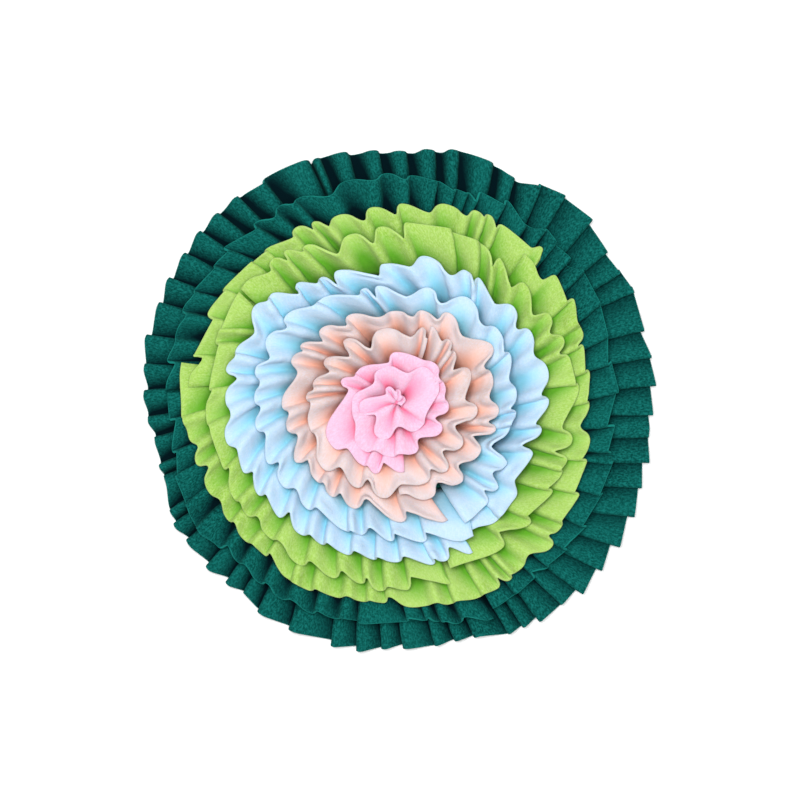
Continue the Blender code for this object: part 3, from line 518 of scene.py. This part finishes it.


# A fold's four corners; pairs are for an open wave and a square pleat. rise and leave: shares of
# the way from the last hollow and to the next ridge, crest: share of the face in the ridge.
# Sides are shares of the swing, above or below the middle line; shades are painted shade, and
# wide hollows get less of it.
foldShape = {"rise": (0.42, 0.06), "crest": (0.15, 0.75), "leave": (0.42, 0.8), "mostGap": 0.45,
             "riseSide": (0.8, 0.7), "hollowSide": (-0.3, -0.9), "leaveSide": -1.3,
             "pleatSide": 0.14, "riseShade": 0.3, "hollowShade": (0.55, 1.0), "leaveShade": 1.1,
             "wideShade": 0.75, "wideFrom": 12.0, "wideOver": 18.0}


def cornersOf(strip):
    # Seven numbers for each corner of each fold: angles of the open wave and of the flat pleat,
    # side of the wave and of the pleat, reach, lay, painted shade.
    folds, box, early, shape = strip.folds, strip.ring["box"], strip.ring["early"], foldShape
    rows = []
    for number, (ridge, ridgeReach, flute, fluteReach, lay) in enumerate(folds):
        nextRidge = folds[number + 1][0] if number + 1 < len(folds) else strip.end
        lastFlute = folds[number - 1][2] if number else ridge - 0.5 * (nextRidge - ridge)
        backLay = folds[number - 1][4] if number else 0.0
        width = nextRidge - ridge
        before = min(ridge - lastFlute, shape["mostGap"] * width)
        gap = min(nextRidge - flute, shape["mostGap"] * width)
        face = flute - ridge
        under = nextRidge + stand["overlap"] * width    # where the flat pleat turns back
        wide = (math.radians(width) * fluteReach - shape["wideFrom"]) / shape["wideOver"]
        tight = blend(1.0, shape["wideShade"], np.clip(wide, 0.0, 1.0))
        crest, crestSquare = shape["crest"]
        rows.append((ridge - blend(*shape["rise"], box) * before, ridge,
                     blend(*shape["riseSide"], box), shape["pleatSide"],
                     ridgeReach, backLay, shape["riseShade"]))
        rows.append((ridge + blend(crest, crestSquare - early, box) * face, ridge, 1.0, 1.0,
                     ridgeReach, lay, 0.0))
        rows.append((flute - early * face, under, blend(*shape["hollowSide"], box), -1.0,
                     fluteReach, lay, blend(*shape["hollowShade"], box * (1.0 - lay)) * tight))
        rows.append((flute + blend(*shape["leave"], box) * gap, under, shape["leaveSide"],
                     -shape["pleatSide"], fluteReach, lay, shape["leaveShade"] * tight))
    return np.array(rows)


def gridOf(strip):
    # control points of the strip and the way to its upper side, one line for each corner and
    # one column for each row across
    ring = strip.ring
    waveAt, pleatAt, waveSide, pleatSide, reach, lay, shade = cornersOf(strip).T
    across = np.linspace(0.0, 1.0, cloth["rows"]) ** cloth["rowCrowding"]
    at = 0.5 * (waveAt + pleatAt)
    edge, up = strip.edge(at), waveSide > 0
    length = stand["tuckLength"]
    ends = [strip.start, strip.start + length, strip.end - length, strip.end]
    tuck = strip.facts.get("tuck", 0.0) * np.interp(at, ends, [-1, 0, 0, 1])
    columns, ways = [], []
    for share in across:
        radius, height = strip.radius(at, share), strip.height(at, share)
        slope = strip.slope(at, share)
        late = share ** stand["openLate"]
        want = np.where(up, blend(ring["flare"], ring["lift"], late),
                        blend(ring["flare"], ring["dip"], late))
        above, below = roomFor(strip, at, radius, height)
        room = stand["roomShare"] * np.where(up, above, below)
        swing = np.clip(room, stand["leastShare"] * want, want)
        laid = lay * blend(stand["seamLay"], 1.0, share)
        laid = laid * np.minimum(1.0, swing / stand["pleatDepth"])
        away = blend(waveSide, pleatSide, laid) * swing + tuck
        angle = np.radians(blend(waveAt, pleatAt, laid) - strip.stop("turns", at) * (1.0 - share))
        inward = blend(-away * np.sin(slope), reach - edge, share ** stand["follow"])
        height = height + (away + inward * np.sin(slope)) / np.cos(slope)
        radius = radius + inward
        height = np.maximum(height, floorAt(radius))
        columns.append(np.stack([radius * np.cos(angle), radius * np.sin(angle), height], axis=1))
        lean = slope * (1.0 - share ** 2)
        ways.append(np.stack([-np.sin(lean) * np.cos(angle), -np.sin(lean) * np.sin(angle),
                              np.cos(lean)], axis=1))
    # painted shade of each corner, fading towards the free edge
    out = ring["shadeOut"]
    fading = np.interp(across, [0.0, 0.45, 0.75, 1.0], [1.1, 1.0, blend(0.5, 1.0, out), out])
    shade = shade[:, None] * fading
    return np.stack(columns, axis=1), np.stack(ways, axis=1), lay, shade


def treeOf(points):
    index = np.arange(points[..., 0].size).reshape(points.shape[:2])
    corners = [index[:-1, :-1], index[1:, :-1], index[1:, 1:], index[:-1, 1:]]
    quads = np.stack(corners, axis=-1).reshape(-1, 4).tolist()
    return BVHTree.FromPolygons(points.reshape(-1, 3).tolist(), quads)


def blur(field):
    for axis in (0, 1):
        wide = np.pad(field, [(1, 1) if side == axis else (0, 0) for side in (0, 1)], mode="edge")
        low = np.take(wide, range(field.shape[axis]), axis)
        high = np.take(wide, range(2, field.shape[axis] + 2), axis)
        field = 0.5 * field + 0.25 * (low + high)
    return field


settling = {"steps": 10, "gap": 0.9, "push": 0.6, "search": 3.0, "least": 0.05, "blur": 0.5,
            "atSeam": 0.1, "atEdge": 1.6}


def settle(grids):
    # cloth that comes too close to the tier above or below it is pushed away, bit by bit
    need = cloth["thickness"] + settling["gap"]
    for step in range(settling["steps"]):
        trees = {name: treeOf(points) for name, (points, _, _, _) in grids.items()}
        worst = 0.0
        for name, (points, ways, _, _) in grids.items():
            push = np.zeros(points.shape[:2])
            for other, tree in trees.items():
                level = allStrips[other].level - allStrips[name].level
                if abs(level) != 1:
                    continue
                for line, row in np.ndindex(*push.shape):
                    point, way = Vector(points[line, row]), Vector(ways[line, row])
                    spot, _, _, distance = tree.find_nearest(point, need + settling["search"])
                    if spot is None:
                        continue
                    apart = distance if (point - spot).dot(way) * level < 0 else -distance
                    if apart < need:
                        push[line, row] -= level * settling["push"] * (need - apart)
                        worst = max(worst, need - apart)
            push = np.where(np.abs(push) > settling["least"], push, 0.0)
            freedom = np.linspace(settling["atSeam"], settling["atEdge"], push.shape[1])
            push = blend(push, blur(push), settling["blur"]) * np.minimum(1.0, freedom)
            points += ways * push[..., None]
            lowest = floorAt(np.hypot(points[..., 0], points[..., 1]))
            points[..., 2] = np.maximum(points[..., 2], lowest)
        print(f"settled {step + 1}: closest were {need - worst:.1f} mm apart")


# Rays to the sky: tilt and number in each ring of them, their start off the cloth and reach, and
# the painted shade for a sky that is wholly hidden.
skyRays = {"rings": ((14, 3), (32, 6), (50, 8), (66, 8)), "start": 1.6, "reach": 30.0,
           "shade": 0.45}


def paintedShadeOf(grids):
    # painted shade for each place: the share of the sky that other cloth hides, plus the fold's own
    # painted shade
    trees = {name: treeOf(points) for name, (points, _, _, _) in grids.items()}
    rays = []
    for ring, (tilt, count) in enumerate(skyRays["rings"]):
        lean = math.radians(tilt)
        for step in range(count):
            turn = 2 * math.pi * (step + 0.5 * (ring % 2)) / count
            rays.append(Vector((math.sin(lean) * math.cos(turn), math.sin(lean) * math.sin(turn),
                                math.cos(lean))))
    shades = {}
    for name, (points, ways, _, shade) in grids.items():
        near = [tree for other, tree in trees.items()
                if abs(allStrips[other].level - allStrips[name].level) <= 1]
        hidden = np.zeros(points.shape[:2])
        for line, row in np.ndindex(*hidden.shape):
            start = Vector(points[line, row]) + Vector(ways[line, row]) * skyRays["start"]
            hits = sum(any(tree.ray_cast(start, ray, skyRays["reach"])[0] for tree in near)
                       for ray in rays)
            hidden[line, row] = hits / len(rays)
        shades[name] = skyRays["shade"] * hidden + shade
    return shades


def smoothLines(grid, weights):
    # a smooth line through the middles of the corners, drawn harder where its weight is higher
    count = cloth["perCorner"]
    lines = [grid[0]]
    for number in range(1, len(grid) - 1):
        first = 0.5 * (grid[number - 1] + grid[number])
        last = 0.5 * (grid[number] + grid[number + 1])
        for step in range(count):
            t = step / count
            low, middle, high = (1 - t) ** 2, 2 * t * (1 - t) * weights[number], t * t
            point = low * first + middle * grid[number] + high * last
            lines.append(point / (low + middle + high))
    lines.append(0.5 * (grid[-2] + grid[-1]))
    lines.append(grid[-1])
    return np.array(lines)


def normalsOf(surface):
    normal = np.cross(np.gradient(surface, axis=1), np.gradient(surface, axis=0))
    return normal / np.maximum(np.linalg.norm(normal, axis=2, keepdims=True), 1e-9)


def wrinkle(surface, chance):
    # slow unevenness of the cloth, from a few waves in random directions
    total = np.zeros(surface.shape[:2])
    for size in (1.0, 0.6, 0.37):
        for _ in range(3):
            way = np.array([chance.normal(), chance.normal(), chance.normal()])
            way /= np.linalg.norm(way)
            wave = surface @ way * (2 * math.pi / (cloth["wrinkleSize"] * size))
            total += np.sin(wave + chance.uniform(0, 6.28)) * size
    return total / 3.0


def sheetMesh(name, surface, hidden, chance):
    # a closed sheet: its two faces, a rounded cut edge, and both ends
    half = 0.5 * cloth["thickness"]
    uneven = wrinkle(surface, chance) * cloth["wrinkle"]
    surface = surface + normalsOf(surface) * uneven[..., None]
    normal = normalsOf(surface)
    out = surface[:, -1] - surface[:, -2]
    out /= np.linalg.norm(out, axis=1, keepdims=True)
    width = np.linalg.norm(np.diff(surface, axis=1), axis=2).cumsum(axis=1).mean(axis=0)
    width = np.concatenate([[0.0], width])
    loop, edges, shades, wide = [], [], [], []

    def addRow(points, edge, shade, reach):
        loop.append(points)
        edges.append(edge)
        shades.append(shade)
        wide.append(reach)

    rows = range(surface.shape[1])
    for row in rows:
        addRow(surface[:, row] + normal[:, row] * half, 0.0, hidden[:, row], width[row])
    # the rounded cut edge: a painted highlight, and less painted shade
    for step in range(1, cloth["rim"] + 1):
        turn = math.pi * step / (cloth["rim"] + 1)
        addRow(surface[:, -1] + normal[:, -1] * half * math.cos(turn)
               + out * half * cloth["rimReach"] * math.sin(turn),
               math.sin(turn), hidden[:, -1] * cloth["rimShade"], width[-1] + half * turn)
    # the lower face: an even painted shade
    for row in reversed(rows):
        addRow(surface[:, row] - normal[:, row] * half, 0.0,
               np.full(len(surface), cloth["underPaintedShade"]),
               width[-1] + 3.0 * half + width[-1] - width[row])
    loop, shades = np.stack(loop, axis=1), np.stack(shades, axis=1)
    lines, around = loop.shape[:2]
    index = np.arange(lines * around).reshape(lines, around)
    nextRound = np.roll(index, -1, axis=1)
    faces = np.stack([index[:-1], index[1:], nextRound[1:], nextRound[:-1]], axis=-1).reshape(-1, 4)
    faces = faces.tolist() + [index[0].tolist(), index[-1][::-1].tolist()]
    mesh = bpy.data.meshes.new(name)
    mesh.from_pydata((loop.reshape(-1, 3) * mm).tolist(), [], faces)
    mesh.update()
    # painted highlight on the cut edge and painted shade, for the material
    for title, values in (("paintedRimHighlight", np.tile(edges, lines)), ("paintedShade", shades.reshape(-1))):
        fade = mesh.attributes.new(title, "FLOAT", "POINT")
        fade.data.foreach_set("value", np.asarray(values, dtype=np.float32))
    # the cloth's own map: metres along the strip and round it
    length = np.linalg.norm(np.diff(surface[:, -1], axis=0), axis=1).cumsum()
    length = np.concatenate([[0.0], length])
    flat = np.broadcast_arrays(length[:, None], np.array(wide)[None, :])
    flat = np.stack(flat, axis=-1).reshape(-1, 2)
    corner = np.empty(len(mesh.loops), dtype=np.int32)
    mesh.loops.foreach_get("vertex_index", corner)
    mesh.uv_layers.new(name="cloth").data.foreach_set("uv", (flat[corner] * mm).ravel())
    mesh.polygons.foreach_set("use_smooth", [True] * (len(faces) - 2) + [False] * 2)
    return mesh


def makeStrip(name, number):
    strip = allStrips[name]
    grid, _, lay, _ = grids[name]
    weights = 1.0 + (strip.ring["crisp"] - 1.0) * lay
    surface = smoothLines(grid, weights)
    hidden = smoothLines(paintedShades[name], weights)
    chance = np.random.default_rng(cloth["seed"] + number)
    piece = addObject(name + "_cloth", sheetMesh(name + "_cloth", surface, hidden, chance))
    piece.data.materials.append(materials[strip.ring["slot"]])
    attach(piece, "root")
    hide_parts(name)


def makeBase():
    # a round cloth with a soft edge, lying flat: from the middle below, round the rim and back
    radius, thick, count = baseCloth["radius"], baseCloth["thickness"], baseCloth["sides"]
    half = 0.5 * thick
    path = [(radius * share, 0.0) for share in baseCloth["ringShares"]]
    for step in range(baseCloth["rimSteps"] + 1):
        turn = -0.5 * math.pi + math.pi * step / baseCloth["rimSteps"]
        path.append((radius - half + half * math.cos(turn), half + half * math.sin(turn)))
    path += [(radius * share, thick) for share in reversed(baseCloth["ringShares"])]
    turns = 2 * math.pi * np.arange(count) / count
    walls = [np.stack([x * np.cos(turns), x * np.sin(turns), np.full(count, z)], axis=1)
             for x, z in path]
    points = np.concatenate([[(0.0, 0.0, 0.0)], *walls, [(0.0, 0.0, thick)]]) * mm
    index = 1 + np.arange(len(path) * count).reshape(-1, count)
    after = np.roll(index, -1, axis=1)
    faces = np.stack([index[:-1], after[:-1], after[1:], index[1:]], axis=-1)
    faces = faces.reshape(-1, 4).tolist()
    for side in range(count):
        faces.append((0, after[0, side], index[0, side]))
        faces.append((len(points) - 1, index[-1, side], after[-1, side]))
    mesh = bpy.data.meshes.new("base_cloth_round")
    mesh.from_pydata(points, [], faces)
    mesh.polygons.foreach_set("use_smooth", [True] * len(faces))
    base = addObject("base_cloth_round", mesh)
    base.data.materials.append(materials["base_cloth"])
    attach(base, "root")
    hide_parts("base_panel")
    side = 2 * radius * mm
    print("base cloth laid")


# Each strip is sewn down through the base. step: degrees between points of a seam line, slant:
# most degrees that a stitch lies off it.
stitching = {"pitch": 3.2, "length": 2.1, "thread": 0.7, "height": 0.22, "slant": 7.0, "step": 1.5,
             "seed": 3, "sides": 6, "rings": 5}


def stitchTree():
    tree = bpy.data.node_groups.new("seamStitches", "GeometryNodeTree")
    for title, way, kind in (
            ("Seams", "INPUT", "Geometry"), ("Pitch", "INPUT", "Float"),
            ("Length", "INPUT", "Float"), ("Thread", "INPUT", "Float"),
            ("Slant", "INPUT", "Float"), ("Seed", "INPUT", "Int"),
            ("Stitches", "OUTPUT", "Geometry")):
        tree.interface.new_socket(name=title, in_out=way, socket_type="NodeSocket" + kind)

    def add(kind, sockets, **settings):
        return addNode(tree, kind, sockets, **settings).outputs

    given = add("NodeGroupInput", {})
    seams = add("GeometryNodeMeshToCurve", {"Mesh": given["Seams"]})
    spots = add("GeometryNodeCurveToPoints", {"Curve": seams[0], "Length": given["Pitch"]},
                mode="LENGTH")
    bead = add("GeometryNodeMeshUVSphere", {
        "Segments": stitching["sides"], "Rings": stitching["rings"], "Radius": 0.5})
    shape = add("ShaderNodeCombineXYZ", {
        "X": given["Length"], "Y": given["Thread"], "Z": given["Thread"]})
    drawn = add("GeometryNodeTransform", {"Geometry": bead[0], "Scale": shape[0]})
    aim = add("FunctionNodeAlignRotationToVector", {"Vector": spots["Tangent"]}, axis="X")
    low = add("ShaderNodeMath", {0: given["Slant"], 1: -1.0}, operation="MULTIPLY")
    chance = add("FunctionNodeRandomValue", {2: low[0], 3: given["Slant"], "Seed": given["Seed"]},
                 data_type="FLOAT")
    lean = add("ShaderNodeCombineXYZ", {"Z": chance[1]})
    turn = add("FunctionNodeEulerToRotation", {"Euler": lean[0]})
    both = add("FunctionNodeRotateRotation", {"Rotation": aim[0], "Rotate By": turn[0]},
               rotation_space="LOCAL")
    place = add("GeometryNodeInstanceOnPoints", {
        "Points": spots["Points"], "Instance": drawn[0], "Rotation": both[0]})
    real = add("GeometryNodeRealizeInstances", {"Geometry": place[0]})
    smooth = add("GeometryNodeSetShadeSmooth", {"Geometry": real[0]})
    paint = add("GeometryNodeSetMaterial", {
        "Geometry": smooth[0], "Material": materials["seam_thread"]})
    add("NodeGroupOutput", {"Stitches": paint[0]})
    return tree


def makeStitches():
    # the seam lines under the base, then a stitch at every pitch along them
    points, edges = [], []
    for strip in allStrips.values():
        stops = np.arange(strip.start, strip.end, stitching["step"])
        first = len(points)
        for angle, radius in zip(np.radians(stops), strip.seam(stops)):
            points.append((radius * math.cos(angle) * mm, radius * math.sin(angle) * mm,
                           stitching["height"] * mm))
        edges += [(number, number + 1) for number in range(first, len(points) - 1)]
    seams = bpy.data.meshes.new("seam_lines")
    seams.from_pydata(points, edges, [])
    guide = addObject("seam_lines", seams)
    tree = stitchTree()
    modifier = guide.modifiers.new("stitches", "NODES")
    modifier.node_group = tree
    values = {"Pitch": stitching["pitch"] * mm, "Length": stitching["length"] * mm,
              "Thread": stitching["thread"] * mm, "Slant": math.radians(stitching["slant"]),
              "Seed": stitching["seed"]}
    for socket in tree.interface.items_tree:
        if socket.in_out == "INPUT" and socket.name in values:
            modifier[socket.identifier] = values[socket.name]
    shaped = guide.evaluated_get(bpy.context.evaluated_depsgraph_get())
    mesh = bpy.data.meshes.new_from_object(shaped)
    bpy.data.objects.remove(guide)
    mesh.name = "base_seam_stitches"
    stitches = addObject("base_seam_stitches", mesh)
    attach(stitches, "root")
    print(f"stitches: {len(mesh.polygons) // (stitching['sides'] * stitching['rings'])}")


# A white table, an even sky and soft lamps: place, size in metres and power of each.
studio = {"floorSide": 8.0, "floor": (0.95, 0.95, 0.95), "floorRoughness": 0.9,
          "floorHeight": -0.0004, "sky": (1.0, 1.0, 1.0), "skyStrength": 0.45,
          "lamps": {"key": (-0.3, 0.35, 2.4, 1.0, 45.0), "fill": (0.4, -0.2, 2.4, 1.2, 22.0)}}


def makeFloor():
    mesh = bpy.data.meshes.new("floor")
    half = studio["floorSide"] / 2
    mesh.from_pydata([(-half, -half, 0), (half, -half, 0), (half, half, 0), (-half, half, 0)], [],
                     [(0, 1, 2, 3)])
    floor = addObject("floor", mesh)
    floor.location.z = studio["floorHeight"]
    material = bpy.data.materials.new("floor_paint")
    material.use_nodes = True
    shader = material.node_tree.nodes["Principled BSDF"]
    shader.inputs["Base Color"].default_value = (*studio["floor"], 1.0)
    shader.inputs["Roughness"].default_value = studio["floorRoughness"]
    mesh.materials.append(material)


def makeStudio():
    world = bpy.data.worlds.new("studio")
    world.use_nodes = True
    sky = world.node_tree.nodes["Background"]
    sky.inputs["Color"].default_value = (*studio["sky"], 1.0)
    sky.inputs["Strength"].default_value = studio["skyStrength"]
    bpy.context.scene.world = world
    bpy.context.scene.view_settings.view_transform = "Standard"
    for name, (x, y, z, size, power) in studio["lamps"].items():
        light = bpy.data.lights.new(name, "AREA")
        light.shape = "DISK"
        light.size = size
        light.energy = power
        lamp = addObject(name, light)
        lamp.location = (x, y, z)
        lamp.rotation_euler = Vector((-x, -y, -z)).to_track_quat("-Z", "Y").to_euler()


# Straight from above, with some air round the mat. level: the height at which width is seen.
camera = {"x": 2.6, "y": 2.6, "height": 2600.0, "level": 20.0, "width": 703.0, "sensor": 36.0}


def makeCamera():
    lens = bpy.data.cameras.new("camera")
    lens.sensor_width = camera["sensor"]
    lens.lens = camera["sensor"] * (camera["height"] - camera["level"]) / camera["width"]
    eye = addObject("camera", lens)
    eye.location = (camera["x"] * mm, camera["y"] * mm, camera["height"] * mm)
    bpy.context.scene.camera = eye


makeCamera()
makeFloor()
makeStudio()
materials = {name: makeMaterial(name, finish) for name, finish in finishes.items()}
allStrips = {name: Strip(name) for name in strips}
makeBase()
grids = {name: gridOf(strip) for name, strip in allStrips.items()}
settle(grids)
paintedShades = paintedShadeOf(grids)
for number, name in enumerate(strips):
    makeStrip(name, number)
makeStitches()
